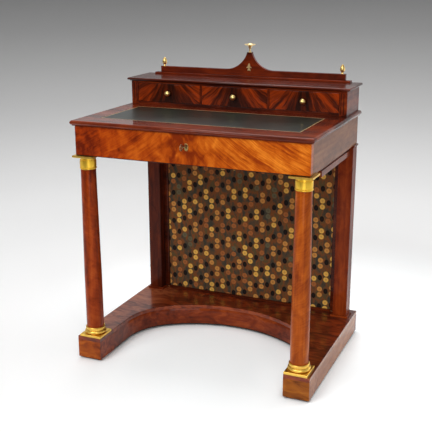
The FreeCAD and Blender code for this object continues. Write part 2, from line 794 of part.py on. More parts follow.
def small_drawer_pieces():
    """Three small drawers, each a front, a box of four boards and a turned knob."""
    pieces = {}
    width = small_opening()
    half = width / 2 - front_gap
    front_y = (upper_front, upper_front + small_front_thickness)
    front_z = (upper_floor + sliding_gap, upper_rail_under - front_gap)
    knob_level = (front_z[0] + front_z[1]) / 2
    back_y = carcass_back - upper_back_thickness - small_back_room
    box_top = front_z[0] + small_side_height
    bottom_top = front_z[0] + small_bottom_thickness
    for step, name in enumerate(("left", "centre", "right"), start=-1):
        x = step * (width + divider_thickness)
        low_x, high_x = x - half, x + half
        front = eased(block((low_x, high_x), front_y, front_z), "Y", upper_front)
        hole = rod(
            knob_pin_diameter + 2 * glue_gap, point(x, front_y[0] - overrun, knob_level), point(0, 1, 0),
            small_front_thickness + 2 * overrun,
        )
        inner_low, inner_high = low_x + small_side_thickness, high_x - small_side_thickness
        back_inner = back_y - small_side_thickness
        depth = (front_y[1], back_y)
        tall = (front_z[0], box_top)
        boards = [
            block((low_x, inner_low), depth, tall),
            block((inner_high, high_x), depth, tall),
            block((inner_low, inner_high), (back_inner, back_y), tall),
            block((inner_low, inner_high), (front_y[1], back_inner), (front_z[0], bottom_top)),
        ]
        pieces[name + "_drawer_front"] = front.cut(hole)
        pieces[name + "_drawer_box"] = Part.makeCompound(boards)
        pieces[name + "_drawer_knob"] = drawer_knob(point(x, upper_front, knob_level))
    return pieces


def drawer_knob(at):
    """A brass knob with a rose, a neck and a domed head, pinned through its drawer front."""
    pin = knob_pin_diameter / 2
    neck = knob_neck_diameter / 2
    head = knob_diameter / 2
    rose = knob_rose_diameter / 2
    head_foot = (knob_rose_length + knob_length) / 2 - arris
    dome_foot = (head, head_foot + arris)
    return turned(
        at, point(0, -1, 0),
        (0, -small_front_thickness), (pin, -small_front_thickness), (pin, 0), (rose, 0),
        (rose - arris, knob_rose_length), (neck, knob_rose_length), (neck, head_foot),
        (head - arris, head_foot), dome_foot, domed(dome_foot, (arris, knob_length)), (0, knob_length),
    )


def gallery_pieces():
    """The gallery: a strip, a board that sweeps up to a peak, and its gilt ornaments."""
    strip = block(
        (-gallery_strip_half, gallery_strip_half), (carcass_back - gallery_strip_depth, carcass_back),
        (cornice_top, gallery_foot),
    )
    strip = eased(strip, "Z", gallery_foot)
    front = carcass_back - gallery_thickness
    curve_radius = (peak_run ** 2 + peak_rise ** 2) / (2 * peak_rise)
    bend = math.asin(peak_run / curve_radius) / 2
    shoulder = peak_half + peak_run
    curve_top = gallery_top + peak_rise
    halfway = (
        shoulder - curve_radius * math.sin(bend),
        gallery_top + curve_radius * (1 - math.cos(bend)),
    )
    board = face(
        on_front(front),
        (-gallery_half, gallery_foot), (-gallery_half, gallery_top), (-shoulder, gallery_top),
        ((-halfway[0], halfway[1]), (-peak_half, curve_top)),
        (-peak_half, peak_top), (peak_half, peak_top), (peak_half, curve_top),
        (halfway, (shoulder, gallery_top)),
        (gallery_half, gallery_top), (gallery_half, gallery_foot),
    ).extrude(point(0, gallery_thickness, 0))
    board = eased(board, "Y", front)
    middle_y = front + gallery_thickness / 2
    acorn_x = gallery_half - acorn_inset
    places = [(0, peak_top), (-acorn_x, gallery_top), (acorn_x, gallery_top)]
    for x, z in places:
        hole_foot = point(x, middle_y, z - finial_pin_length - glue_gap)
        hole = rod(finial_pin_diameter + 2 * glue_gap, hole_foot, point(0, 0, 1), z + overrun - hole_foot.z)
        board = board.cut(hole)
    acorn = acorn_finial(point(acorn_x, middle_y, gallery_top))
    return {
        "gallery_strip": strip,
        "gallery_board": board,
        "palmette_mount": leaf_mount(front),
        "centre_finial": dish_finial(point(0, middle_y, peak_top)),
        "acorn_finials": Part.makeCompound([mirrored(acorn), acorn]),
    }


def leaf(front, foot, shares, angle):
    """One pointed leaf of the gilt mount, turned about its root from upright."""
    root, length, width = [leaf_mount_height * share for share in shares]
    low, high = foot + root, foot + root + length
    middle = (low + high) / 2
    blade = face(
        on_front(front), (0, low), ((width / 2, middle), (0, high)), ((-width / 2, middle), (0, low)),
    ).extrude(point(0, -leaf_thickness, 0))
    blade.rotate(point(0, front, low), point(0, 1, 0), angle)
    return blade


def leaf_mount(front):
    """The gilt mount on the gallery: a bud on a stem, with two hanging leaves and two feet."""
    foot = gallery_foot + leaf_mount_rise
    boss_level = foot + leaf_mount_height * leaf_shares["foot"][0]
    boss = rod(leaf_boss_diameter, point(0, front, boss_level), point(0, -1, 0), leaf_thickness)
    leaves = [leaf(front, foot, leaf_shares["stem"], 0), leaf(front, foot, leaf_shares["bud"], 0)]
    for name, angle in leaf_angles.items():
        leaves += [leaf(front, foot, leaf_shares[name], hand * angle) for hand in (-1, 1)]
    return boss.fuse(leaves).removeSplitter()


def dish_finial(at):
    """The gilt dish with a knop in its middle, on a stem that stands on the peak."""
    pin = finial_pin_diameter / 2
    foot = dish_foot_diameter / 2
    stem = dish_stem_diameter / 2

    def spot(shares):
        return (dish_diameter / 2 * shares[0], dish_height * shares[1])

    lip, rim, knop = spot(dish_lip_shares), spot(dish_rim_shares), spot(dish_knop_shares)
    return turned(
        at, point(0, 0, 1),
        (0, -finial_pin_length), (pin, -finial_pin_length), (pin, 0), (foot, 0), (foot, arris),
        (stem, foot - stem), (stem, dish_height * dish_throat_share), spot(dish_bowl_shares),
        lip, (lip[0], rim[1]), rim, knop, domed(knop, (0, dish_height)),
    )


def acorn_finial(at):
    """A brass acorn on a short neck."""
    pin = finial_pin_diameter / 2
    radius = acorn_diameter / 2
    foot = radius * acorn_foot_share

    def spot(shares):
        return (radius * shares[0], acorn_height * shares[1])

    return turned(
        at, point(0, 0, 1),
        (0, -finial_pin_length), (pin, -finial_pin_length), (pin, 0), (foot, 0), (foot, arris),
        spot(acorn_neck_shares), (spot(acorn_cup_shares), spot(acorn_body_shares)),
        (spot(acorn_shoulder_shares), spot(acorn_tip_shares)), (0, acorn_height),
    )


pieces = {
    **base_pieces(),
    **column_pieces(),
    **pilaster_pieces(),
    **frieze_pieces(),
    **top_pieces(),
    **frieze_drawer_pieces(),
    **upper_case_pieces(),
    **small_drawer_pieces(),
    **gallery_pieces(),
}

os.makedirs("parts", exist_ok=True)
for name, shape in pieces.items():
    shape.exportStep("parts/" + name + ".step")
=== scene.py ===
"""Looks, light and camera for the column writing desk, built on its CAD frame. Metres."""

import json
import math

import bpy
from mathutils import Matrix, Vector


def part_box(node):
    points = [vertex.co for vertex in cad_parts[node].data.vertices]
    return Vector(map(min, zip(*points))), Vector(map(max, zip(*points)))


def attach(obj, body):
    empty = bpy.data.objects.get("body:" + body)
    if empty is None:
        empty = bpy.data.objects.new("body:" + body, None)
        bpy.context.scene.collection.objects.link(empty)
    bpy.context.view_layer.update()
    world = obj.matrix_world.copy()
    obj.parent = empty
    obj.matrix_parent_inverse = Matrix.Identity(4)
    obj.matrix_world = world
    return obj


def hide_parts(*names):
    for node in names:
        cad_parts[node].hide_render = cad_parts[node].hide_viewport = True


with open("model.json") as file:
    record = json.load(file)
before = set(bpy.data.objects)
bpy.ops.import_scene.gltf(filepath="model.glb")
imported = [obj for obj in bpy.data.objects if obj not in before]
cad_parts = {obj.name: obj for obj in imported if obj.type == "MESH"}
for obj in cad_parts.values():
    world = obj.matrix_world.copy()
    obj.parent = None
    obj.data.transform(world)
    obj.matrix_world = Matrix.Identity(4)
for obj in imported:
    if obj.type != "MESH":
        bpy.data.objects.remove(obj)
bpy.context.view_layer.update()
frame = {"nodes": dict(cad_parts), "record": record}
nodes = frame["nodes"]

# Camera, from the corners of the desk in the photograph
camera_place = (0.977, -2.3134, 1.178)
camera_yaw = 0.4048
camera_pitch = 0.2846
camera_roll = -0.0023
camera_lens = 69.63              # millimetres, on a sensor 36 wide
camera_reach = 50                # nothing beyond it is drawn

# Lamps: each one's place, the point that it faces, its width and height, its watts
lamps = {
    "key": ((-0.9, -2.5, 2.5), (0, 0, 0.5), (1.6, 1.6), 58),
    "fill": ((1.5, -2.7, 1.7), (0, 0, 0.5), (1.2, 1.2), 27),
    "low_card": ((0.7, -1.7, 0.24), (0, -0.2, 0.63), (0.9, 0.26), 1.8),
    "overhead": ((0, 0.9, 3.4), (0, 0.6, 0), (2.6, 2.6), 80),
    "side_card": ((2.1, 1.9, 0.55), (0.36, 0, 0.45), (1.6, 1.1), 14),
}
room_grey = 0.5                  # of the light from all round
room_strength = 0.6

# Stage
floor_radius = 1.5
sweep_radius = 2.5               # of the curve from the floor up into the wall
wall_top = 4.0
sweep_sides = 96                 # facets round the paper
sweep_steps = 24                 # and up its curve
paper_greys = (                  # height, and the paper's grey there
    (0.0, 0.9), (0.036, 0.87), (0.08, 0.812), (0.22, 0.675), (0.3, 0.6), (0.4, 0.525), (0.6, 0.41),
    (0.8, 0.307), (1.0, 0.235),
)
dark_from, dark_to = -1.1, -2.3  # where the floor before the desk falls into the dark room
dark_grey = 0.05
floor_glow = 0.31                # how much whiter than its light the floor shows
glow_middle = (0.25, 0.15)       # where it does most
glow_outer, glow_inner = 1.2, 0.4  # how far from there the glow begins, and is full
wall_glow = 0.6                  # of the wall above the camera's view, which the polish mirrors
wall_glow_from, wall_glow_to = 1.2, 1.6
floor_cool = (0.95, 1.06, 1.09, 1.0)  # takes out the pink that the wood throws on the floor
cool_from, cool_to = 0.8, 0.2    # heights below which it begins, and is full
contact_reach = 0.06             # of the shadow close to the desk's foot
contact_rays = 6
contact_dark, contact_clear = 0.25, 0.85  # share of open air at which the glow begins, and is full

# Polished wood
polish_index = 1.22              # low, so that it mirrors at a slant and hardly shows face on
polish_roughness = 0.04
dark_tone, light_tone = 0.35, 0.65
wood_roughness = (0.46, 0.34)    # at those two tones, under the polish
wood_specular = 0.06
tone_spread = 0.12               # from the figure's middle tone to the darkest and the lightest colour
pore_from, pore_to = 0.6, 0.75   # where in their noise the pores begin, and are full
pore_depth = 0.3

# Straight grain: how fine each layer of the figure is, along the grain and across it
plank_band, plank_streak = (1.2, 9.0), (4.0, 75.0)
plank_blotch, plank_pores = (13.0, 34.0), (40.0, 1100.0)
band_share, streak_share = 0.6, 0.4  # in the figure, before the blotches take from both
plank_mottle = 0.25              # share of the blotches
plank_step = 1.7                 # from one piece's place in the plank to the next one's

# Column veneer: how fine each layer is, along its two directions
column_band, column_plume = (34.0, 2.4, 1.0), (15.0, 22.0, 1.0)
column_cross, column_pores = (210.0, 14.0, 1.0), (1100.0, 50.0, 1.0)
column_band_share, column_plume_share = 0.55, 0.45  # before the cross figure takes from both
column_sway = 0.05               # how far the figure strays
column_polish = 0.4

# Frieze veneer: how fine each layer is, across the feathers and along them
frieze_plume, frieze_streak = (22.0, 3.0, 1.0), (80.0, 6.0, 1.0)
frieze_feather, frieze_pores = (280.0, 26.0, 1.0), (900.0, 80.0, 1.0)
feather_shares = (0.36, 0.32, 0.32)  # of plumes, streaks and feathers
mottle_shares = (0.6, 0.4)       # of blotches and swells
feather_fall = 0.56              # drop of the feathers per root of the distance from the middle
feather_turn = 0.025             # added to that distance, so that they turn over softly
feather_drift, feather_wiggle = 0.018, 0.002  # how far slow and quick waves push them
feather_from, feather_full = 0.02, 0.15  # from the middle, where the mottle gives way to them
feather_least, feather_most = 0.2, 0.75  # how far it does so
feather_left = 0.5               # what is left of that at the left end
middle_half, middle_dark = 0.06, 0.05  # the darker middle
frieze_spread = 0.085            # in place of tone_spread
bottom_shade_edge = 0.0015            # painted shade line along the lower edge of the drawer's front

# Small drawers' veneer: how fine each layer is, across the streaks and along them
flame_band, flame_streak = (6.5, 12.0, 1.0), (17.0, 12.0, 1.0)
flame_feather, flame_pores = (90.0, 20.0, 1.0), (200.0, 80.0, 1.0)
flame_shares = (0.48, 0.22, 0.3)  # of bands, streaks and feathers
flame_apex = 0.08                # of a drawer's streaks, above its middle
flame_drift = 0.16               # how far they stray
flame_dark, flame_light = 0.12, 0.75  # lean of the streaks at the dark middle and the lighter sides
flame_gain, flame_sink = 0.13, 0.1  # how much lighter the sides are, and how much darker the whole
flame_lift = {"right_drawer_front": 0.025}  # how much less dark one of them is
flame_step = 3.1                 # from one drawer's place in the veneer to the next one's

# Patches of other veneer, and of painted light and shade
lit_end_from, lit_end_to = 0.16, 0.04  # from the base board's left end, where light falling on it is painted in
contact_shade_edge = 0.0022             # painted shade along the lower edge of the curved apron, near the floor

# Inlaid lines on the stiles of the upper case
string_half_gap = 0.0042         # from the middle of the pair to each line
string_half = 0.001
string_from_edge = 0.0095        # middle of the pair outside the drawers' edge
string_end = 0.006               # of the lines from the stile's ends

# Lining wood: how fine its streaks are, along the grain and across it
lining_streak = (4.0, 130.0)

# Cloth
cloth_column = 0.0208            # from one column of spots to the next
cloth_row = 0.0205
cloth_cycle = 5                  # spots and gaps in one repeat up a column
cloth_stagger = 2                # steps of the repeat from one column to the next
cloth_slip, slip_seed = 0.8, 0.5  # how far, in rows, a column slips by chance
disc_steps = 2                   # first steps of the repeat, which have discs
oval_step = 3                    # the one with an oval
disc_half, oval_half = (0.43, 0.435), (0.37, 0.49)  # half sizes, in columns across and rows up
spot_fray = 0.3                  # how far the threads break a spot's edge
spot_outer, spot_inner = 1.25, 1.0
eye_outer, eye_inner, eye_depth = 0.5, 0.25, 0.25  # darker middle of a spot
ink_rows = 3                     # rows of a column that share an ink
warp_pitch, weft_pitch = 0.0011, 0.0014
cloth_flutter = 0.0003           # how far the stretched cloth waves
cloth_pull = 14                  # how fast the waves die away from its edges
cloth_ripples = ((61, 7), (5, 53))  # of its two waves, across and up
cloth_cells = 48

# Leather
tooled_line = 0.0022             # gilt line inside the edge
tooled_half = 0.0011
tooling = (                      # distance from the edge, and how far the hide is pressed down there
    (0, 0.0013), (0.0003, 0.0004), (0.0008, 0), (0.0013, 0), (tooled_line, 0.0002), (0.0031, 0), (0.006, 0),
)
leather_wave = 0.00008
leather_ripples = ((31, 17), (-11, 43))  # of its two waves, to the right and to the back
leather_cells = (60, 24)

# Edges
edge_round = 0.0006
edge_segments = 2
edge_angle = math.radians(35)
weld_gap = 0.00001


def tint(red, green, blue):
    """A colour given as it shows on screen, 0 to 255, in linear light."""
    def linear(level):
        share = level / 255
        return share / 12.92 if share <= 0.04045 else ((share + 0.055) / 1.055) ** 2.4
    return (linear(red), linear(green), linear(blue), 1.0)


def grey(level):
    """A grey in linear light."""
    return (level, level, level, 1.0)


# Wood tones, each dark, middle and light
red_brown = (tint(52, 14, 4), tint(104, 34, 9), tint(146, 60, 18))
top_red = (tint(48, 12, 3), tint(94, 30, 8), tint(132, 52, 15))
dark_red = (tint(42, 10, 3), tint(92, 28, 7), tint(132, 46, 12))
cornice_red = (tint(34, 8, 2), tint(76, 22, 5), tint(110, 38, 10))
# painted shade: a darker copy of the red, for pieces and edges that sit in shade
painted_shade_red = (tint(32, 8, 2), tint(70, 22, 6), tint(102, 38, 11))
plum = (tint(52, 16, 6), tint(92, 32, 11), tint(132, 52, 18))
apron_brown = (tint(82, 28, 9), tint(122, 46, 14), tint(154, 68, 24))
block_red = (tint(98, 36, 6), tint(142, 62, 11), tint(170, 86, 20))
block_brown = (tint(100, 48, 10), tint(144, 77, 17), tint(172, 102, 28))
# painted light: a lighter copy of the wood for faces on the right, which catch the light at a slant
painted_lit_side_brown = (tint(130, 68, 22), tint(154, 87, 32), tint(174, 105, 44))
# painted light: a lighter copy for the frieze's right side, lit at a slant
painted_lit_frieze_side = (tint(88, 40, 8), tint(126, 66, 14), tint(156, 92, 26))
# painted light: a lighter copy for the base board's lit left end and the right runner's lit face
painted_light_brown = (tint(92, 36, 16), tint(140, 66, 36), tint(172, 98, 60))
# the foot pads' own dark, deepened to paint the shade under the base; also painted shade at the apron's foot
pad_and_shade_black = (tint(22, 14, 9), tint(40, 26, 17), tint(58, 40, 26))
left_column = (tint(84, 24, 5), tint(138, 50, 10), tint(170, 76, 22))
right_column = (tint(114, 41, 7), tint(160, 73, 14), tint(192, 99, 26))
frieze_left = (tint(98, 26, 3), tint(150, 51, 6), tint(182, 74, 10))
frieze_right = (tint(142, 50, 5), tint(194, 92, 15), tint(230, 134, 38))
drawer_flame = (tint(38, 10, 2), tint(80, 25, 5), tint(160, 56, 10))
inlay_black = tint(26, 9, 4)
# painted shade along the lower edge of the frieze front
shade_line_brown = tint(44, 16, 6)

# Other colours, in runs as place and colour
lining_tones = ((0.25, tint(136, 82, 46)), (0.5, tint(172, 116, 68)), (0.75, tint(196, 144, 92)))
lining_soil = tint(112, 70, 42)
hide_tones = ((0.35, tint(12, 18, 11)), (0.55, tint(17, 24, 15)), (0.7, tint(27, 34, 23)))
tooled_gilt = tint(206, 170, 116)
steel_bright, steel_dark = tint(164, 130, 96), tint(88, 66, 48)
cloth_grounds = (
    (0.36, tint(64, 60, 50)), (0.45, tint(88, 68, 48)), (0.54, tint(130, 72, 34)), (0.63, tint(92, 74, 46)),
)
cloth_inks = (
    (0.0, tint(236, 182, 84)), (0.36, tint(206, 142, 70)), (0.7, tint(168, 100, 52)),
    (0.9, tint(100, 94, 70)),
)
oval_ink, eye_ink, thread_brown = tint(12, 10, 10), tint(60, 38, 22), tint(48, 36, 26)

# Metals: bright and worn colour, roughness, and how far the wear goes
gilts = {
    "gilt bronze": (tint(250, 203, 72), tint(214, 156, 46), 0.33, 0.15),
    # partly real wear, partly painted shade: a dimmer copy of the gilt for parts that sit in shade
    "worn gilt with painted shade": (tint(238, 196, 92), tint(200, 154, 66), 0.33, 0.4),
    "pale gilt": (tint(244, 216, 156), tint(206, 170, 108), 0.36, 0.4),
    "brass": (tint(255, 226, 150), tint(214, 168, 90), 0.3, 0.4),
    "dull brass": (tint(232, 196, 122), tint(186, 146, 84), 0.28, 0.4),
}
rub_unevenness = 0.06            # of the metals' roughness

# What each piece has of these, where it isn't the usual
tones_of = {
    "base_top_board": plum, "base_curved_apron": apron_brown, "base_end_blocks": block_red,
    # the right sides and the right runner get lighter copies: painted light
    "base_side_right": painted_lit_side_brown, "frieze_side_right": painted_lit_frieze_side, "drawer_runner_right": painted_light_brown,
    "cornice_board": cornice_red, "gallery_board": dark_red, "gallery_strip": dark_red,
    # the left pilaster and the cloth's beads are darkened with painted shade
    "upper_dividers": cornice_red, "pilaster_left": painted_shade_red, "cloth_beads": painted_shade_red,
    # the foot pads are darkened with painted shade
    "foot_pads": pad_and_shade_black, "writing_top": top_red,
}
polish_of = {
    "base_top_board": {"index": 1.38, "roughness": 0.16}, "base_side_right": {"depth": 0.75},
    "base_end_blocks": {"depth": 0.8}, "pilaster_left": {"depth": 0.6}, "pilaster_right": {"depth": 0.4},
    "frieze_side_right": {"depth": 0.75}, "drawer_runner_right": {"depth": 0.75},
}
mottle_of = {"base_top_board": 0.6, "base_end_blocks": 0.6, "base_curved_apron": 0.4}
metal_of_slot = {"gilt_bronze": "gilt bronze", "brass": "brass", "lock_steel": "lock steel"}
metal_of = {
    # the column bases and abaci get the gilt with painted shade
    "column_base_left": "worn gilt with painted shade", "column_base_right": "worn gilt with painted shade", "column_abaci": "worn gilt with painted shade",
    "acorn_finials": "dull brass", "palmette_mount": "pale gilt", "centre_finial": "pale gilt",
}
columns = {                      # name, tones, lean of the cross figure, its share, place in the plank
    "column_left": ("left column", left_column, 0.5, 0.12, 1.7),
    "column_right": ("right column", right_column, -0.6, 0.16, 3.1),
}


def along(axis, length, width):
    """Noise scales that draw streaks out along one axis."""
    return tuple(length if k == axis else width for k in range(3))


def middle_of(node):
    """The middle of a CAD node's box."""
    low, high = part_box(node)
    return [(a + b) / 2 for a, b in zip(low, high)]


class Tree:
    """A material's nodes, with short calls for the kinds used here."""

    def __init__(self, name):
        self.material = bpy.data.materials.new(name)
        self.material.use_nodes = True
        self.nodes = self.material.node_tree.nodes
        self.links = self.material.node_tree.links
        self.shader = self.nodes["Principled BSDF"]

    def feed(self, socket, value):
        """Links a socket to another one, or sets it to a plain value."""
        if isinstance(value, bpy.types.NodeSocket):
            self.links.new(value, socket)
        else:
            socket.default_value = value

    def add(self, kind, inputs, **settings):
        """A new node with its settings and inputs."""
        node = self.nodes.new("ShaderNode" + kind)
        for name, value in settings.items():
            setattr(node, name, value)
        for name, value in inputs.items():
            self.feed(node.inputs[name], value)
        return node

    def finish(self, **inputs):
        """Sets the shader's sockets, named with underscores, and returns the material."""
        for name, value in inputs.items():
            self.feed(self.shader.inputs[name.replace("_", " ")], value)
        return self.material

    def place(self, shift=(0, 0, 0), scale=(1, 1, 1)):
        """Where a point lies on the piece, moved and stretched."""
        source = self.add("TexCoord", {}).outputs["Object"]
        return self.stretch(source, shift, scale)

    def stretch(self, source, shift=(0, 0, 0), scale=(1, 1, 1)):
        """A place, moved and stretched."""
        return self.add("Mapping", {"Vector": source, "Location": shift, "Scale": scale}).outputs[0]

    def parts(self, source):
        """The x, y and z of a place."""
        return self.add("SeparateXYZ", {"Vector": source}).outputs

    def vector(self, x, y, z=0.0):
        """A place from its x, y and z."""
        return self.add("CombineXYZ", {"X": x, "Y": y, "Z": z}).outputs[0]

    def noise(self, source, scale=1.0, detail=3.0, roughness=0.55, distortion=0.0):
        """Soft noise about a half."""
        inputs = {
            "Vector": source, "Scale": scale, "Detail": detail, "Roughness": roughness,
            "Distortion": distortion,
        }
        return self.add("TexNoise", inputs).outputs["Fac"]

    def random(self, source):
        """A number from 0 to 1 that stays the same over one cell."""
        return self.add("TexWhiteNoise", {"Vector": source}, noise_dimensions="3D").outputs["Value"]

    def math(self, operation, first, second=0.0):
        """What an operation makes of one or two values."""
        return self.add("Math", {0: first, 1: second}, operation=operation).outputs[0]

    def weigh(self, *pairs):
        """The sum of values, each times its weight."""
        total = 0.0
        for value, weight in pairs:
            total = self.add("Math", {0: value, 1: weight, 2: total}, operation="MULTIPLY_ADD").outputs[0]
        return total

    def reach(self, x, y):
        """How far a point is from the middle."""
        return self.math("SQRT", self.math("ADD", self.math("POWER", x, 2.0), self.math("POWER", y, 2.0)))

    def span(self, value, low, high, to_low=0.0, to_high=1.0):
        """Eases a value from one range into another."""
        inputs = {"Value": value, "From Min": low, "From Max": high, "To Min": to_low, "To Max": to_high}
        return self.add("MapRange", inputs, interpolation_type="SMOOTHSTEP").outputs["Result"]

    def ramp(self, factor, *stops, steps="LINEAR"):
        """A run of colours, each stop a place from 0 to 1 and a colour."""
        node = self.add("ValToRGB", {"Fac": factor})
        run = node.color_ramp
        run.interpolation = steps
        while len(run.elements) < len(stops):
            run.elements.new(0.5)
        for element, (place, colour) in zip(run.elements, stops):
            element.position = place
            element.color = colour
        return node.outputs["Color"]

    def mix(self, factor, first, second):
        """One colour, or the other, or between them."""
        return self.add("Mix", {0: factor, 6: first, 7: second}, data_type="RGBA").outputs[2]

    def near(self, value, place, half):
        """1 within a half width of a place, and 0 elsewhere."""
        return self.math("LESS_THAN", self.math("ABSOLUTE", self.math("SUBTRACT", value, place)), half)

    def rib(self, value, pitch):
        """One thread system of a weave, from 0 to 1 across each thread."""
        return self.math("ABSOLUTE", self.math("SINE", self.math("MULTIPLY", value, math.pi / pitch)))

    def bump(self, height, strength, distance):
        """A surface made uneven."""
        inputs = {"Height": height, "Strength": strength, "Distance": distance}
        return self.add("Bump", inputs).outputs["Normal"]

    def polish(self, colour, grain, tone, depth=1.0, index=polish_index, roughness=polish_roughness):
        """Wood under a clear French polish of some depth, with its grain just felt."""
        return self.finish(
            Base_Color=colour, Roughness=self.span(tone, dark_tone, light_tone, *wood_roughness),
            Specular_IOR_Level=wood_specular, Coat_Weight=depth, Coat_Roughness=roughness, Coat_IOR=index,
            Normal=self.bump(grain, strength=0.05, distance=0.0002),
        )


def wood_tones(tree, tone, tones, pores, spread=tone_spread):
    """Wood colours from a tone about a half, with dark pores."""
    dark, middle, light = tones
    colour = tree.ramp(tone, (0.5 - spread, dark), (0.5, middle), (0.5 + spread, light))
    return tree.mix(tree.span(pores, pore_from, pore_to, to_high=pore_depth), colour, dark)


def polished_wood(name, axis, tones, shift, mottle, inlay, tone_patches, polish):
    """Straight-grained wood along one axis, with an inlay, or other tones from one place to the next:
    veneer, painted light and shade.
    """
    tree = Tree(name)
    offset = (shift, shift, shift)
    band = tree.noise(tree.place(offset, along(axis, *plank_band)), distortion=0.6)
    streak = tree.noise(tree.place(offset, along(axis, *plank_streak)), detail=5.0, distortion=0.3)
    blotch = tree.noise(tree.place(offset, along(axis, *plank_blotch)), roughness=0.6, distortion=1.4)
    pores = tree.noise(tree.place(offset, along(axis, *plank_pores)), detail=2.0)
    tone = tree.weigh((band, band_share - mottle / 2), (streak, streak_share - mottle / 2), (blotch, mottle))
    colour = wood_tones(tree, tone, tones, pores)
    if inlay:
        colour = tree.mix(inlay(tree), colour, inlay_black)
    # the patches are other veneer, painted light and painted shade
    for which, start, end, veneer in tone_patches:
        there = tree.span(tree.parts(tree.place())[which], start, end)
        colour = tree.mix(there, colour, wood_tones(tree, tone, veneer, pores))
    return tree.polish(colour, pores, tone, **polish)


def stile_strings(side):
    """Two dark inlaid lines on the front of a stile, a little short of its ends."""
    low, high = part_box("upper_side_" + side)
    hand = -1 if side == "left" else 1
    centre = (high[0] if side == "left" else low[0]) + hand * string_from_edge

    def lines(tree):
        x, y, z = tree.parts(tree.place())
        aside = tree.math("ABSOLUTE", tree.math("SUBTRACT", x, centre))
        upright = tree.near(aside, string_half_gap, string_half)
        within = tree.near(z, (low[2] + high[2]) / 2, (high[2] - low[2]) / 2 - string_end)
        facing = tree.math("LESS_THAN", y, low[1] + string_half)
        return tree.math("MULTIPLY", tree.math("MULTIPLY", upright, within), facing)
    return lines


def column_veneer(node, name, tones, lean, cross, shift):
    """Veneer wrapped round a column: upright bands, and fine cross figure that leans round the shaft."""
    tree = Tree(name)
    centre = middle_of(node)
    low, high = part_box(node)
    x, y, z = tree.parts(tree.place((-centre[0], -centre[1], shift)))
    turn = tree.math("ARCTAN2", x, tree.math("MULTIPLY", y, -1.0))
    wrap = tree.math("MULTIPLY", turn, (high[0] - low[0]) / 2)
    upright = tree.vector(wrap, z, shift)
    sway = tree.noise(upright, scale=16.0, detail=2.0)
    slant = tree.weigh((z, 1.0), (wrap, lean), (sway, column_sway))
    leaning = tree.vector(slant, wrap, shift)
    band = tree.noise(tree.stretch(upright, scale=column_band), distortion=0.5)
    plume = tree.noise(tree.stretch(leaning, scale=column_plume), distortion=0.8)
    figure = tree.noise(tree.stretch(leaning, scale=column_cross), detail=4.0)
    pores = tree.noise(tree.stretch(upright, scale=column_pores), detail=2.0)
    tone = tree.weigh(
        (band, column_band_share - cross / 2), (plume, column_plume_share - cross / 2), (figure, cross),
    )
    return tree.polish(wood_tones(tree, tone, tones, pores), pores, tone, column_polish)


def feathered_veneer(name, node, left_tones, right_tones):
    """The frieze's crotch veneer: feathers that fall to both sides of the middle, warmer to the right."""
    tree = Tree(name)
    low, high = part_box(node)
    centre = middle_of(node)
    half = (high[0] - low[0]) / 2
    bottom = low[2] - centre[2]
    x, _, z = tree.parts(tree.place((-centre[0], 0, -centre[2])))
    out = tree.math("ABSOLUTE", x)
    drift = tree.noise(tree.place(), scale=9.0, detail=2.0)
    wiggle = tree.noise(tree.place(scale=(1, 1, 0.6)), scale=48.0, detail=2.0)
    sweep = tree.math("SQRT", tree.math("ADD", out, feather_turn))
    fall = tree.weigh((z, 1.0), (sweep, feather_fall), (drift, feather_drift), (wiggle, feather_wiggle))
    figure = tree.vector(fall, out)
    plume = tree.noise(tree.stretch(figure, scale=frieze_plume), detail=2.0, distortion=0.25)
    streak = tree.noise(tree.stretch(figure, scale=frieze_streak), detail=2.0, distortion=0.1)
    feather = tree.noise(tree.stretch(figure, scale=frieze_feather), detail=2.0)
    pores = tree.noise(tree.stretch(figure, scale=frieze_pores), detail=2.0)
    blotch = tree.noise(tree.place(scale=(1, 1, 0.75)), scale=34.0, distortion=0.5)
    swell = tree.noise(tree.place(shift=(0.2, 0, 0)), scale=6.0, detail=2.0)
    feathers = tree.weigh(*zip((plume, streak, feather), feather_shares))
    mottle = tree.weigh(*zip((blotch, swell), mottle_shares))
    beside = tree.span(out, feather_from, feather_full, feather_least, feather_most)
    beside = tree.math("MULTIPLY", beside, tree.span(x, -half, half / 2, to_low=feather_left))
    tone = tree.weigh((tree.math("MULTIPLY", feathers, beside), 1.0), (mottle, 1.0))
    tone = tree.math("SUBTRACT", tone, tree.math("MULTIPLY", mottle, beside))
    tone = tree.math("SUBTRACT", tone, tree.span(out, middle_half, 0.0, to_high=middle_dark))
    cool = wood_tones(tree, tone, left_tones, pores, frieze_spread)
    warm = wood_tones(tree, tone, right_tones, pores, frieze_spread)
    colour = tree.mix(tree.span(x, -half, half), cool, warm)
    # painted shade line along the lower edge
    bottom_shade = tree.span(z, bottom + 2 * bottom_shade_edge, bottom + bottom_shade_edge)
    return tree.polish(tree.mix(bottom_shade, colour, shade_line_brown), pores, tone)


